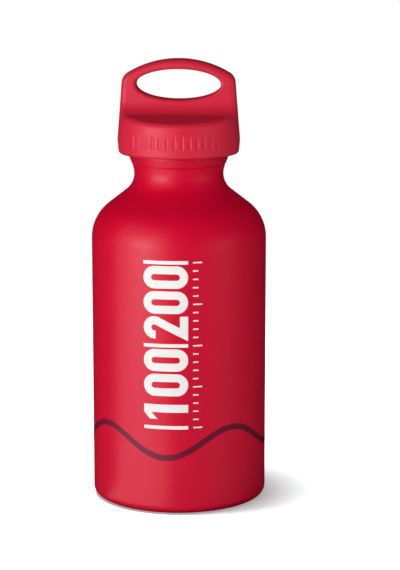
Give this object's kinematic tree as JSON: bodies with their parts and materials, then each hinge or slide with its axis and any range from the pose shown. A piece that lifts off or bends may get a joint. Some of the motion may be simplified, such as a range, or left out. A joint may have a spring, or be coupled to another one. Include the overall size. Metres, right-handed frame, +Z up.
{
  "type": "camping fuel bottle",
  "caption": "Round aluminium fuel bottle with a waisted neck, a screw plug with a sealing ring, and a push-and-turn overcap with a carry loop.",
  "frame": {"origin": "middle of the base, on the surface that the bottle stands on", "axes": "+Z up along the bottle's axis, -Y towards the face that the flat side of the carry loop shows, +X to the right of it"},
  "size_m": [0.066, 0.066, 0.1669],
  "materials": {
    "bottle_lacquer": "satin red lacquer on aluminium, bare inside",
    "seal_rubber": "matte",
    "plug_plastic": "matte",
    "spring_steel": "satin",
    "washer_plastic": "satin",
    "cap_plastic": "matte"
  },
  "bodies": {
    "bottle": {"bottle_shell": "bottle_lacquer"},
    "seal": {"sealing_ring": "seal_rubber"},
    "plug": {"threaded_plug": "plug_plastic", "return_spring": "spring_steel"},
    "washer": {"thrust_washer": "washer_plastic"},
    "cap": {"cap_shell": "cap_plastic", "retaining_ring": "spring_steel"}
  },
  "joints": [
    {"name": "cap_lift", "type": "slide", "parent": "bottle", "child": "seal", "axis": [0, 0, 1], "range_m": [0, 0.0241]},
    {"name": "plug_turn", "type": "hinge", "parent": "seal", "child": "plug", "pos_m": [0, 0, 0.135], "axis": [0, 0, 1], "range_deg": [0, 2160]},
    {"name": "cap_press", "type": "slide", "parent": "plug", "child": "washer", "axis": [0, 0, 1], "range_m": [-0.0015, 0], "stiffness_N_per_m": 1150, "springref_m": 0.005, "deforming": ["return_spring"]},
    {"name": "cap_spin", "type": "hinge", "parent": "washer", "child": "cap", "pos_m": [0, 0, 0.1405], "axis": [0, 0, 1], "continuous": true}
  ],
  "couplings": [
    {"joint": "cap_lift", "follows": "plug_turn", "m_per_rad": 0.00063662}
  ]
}
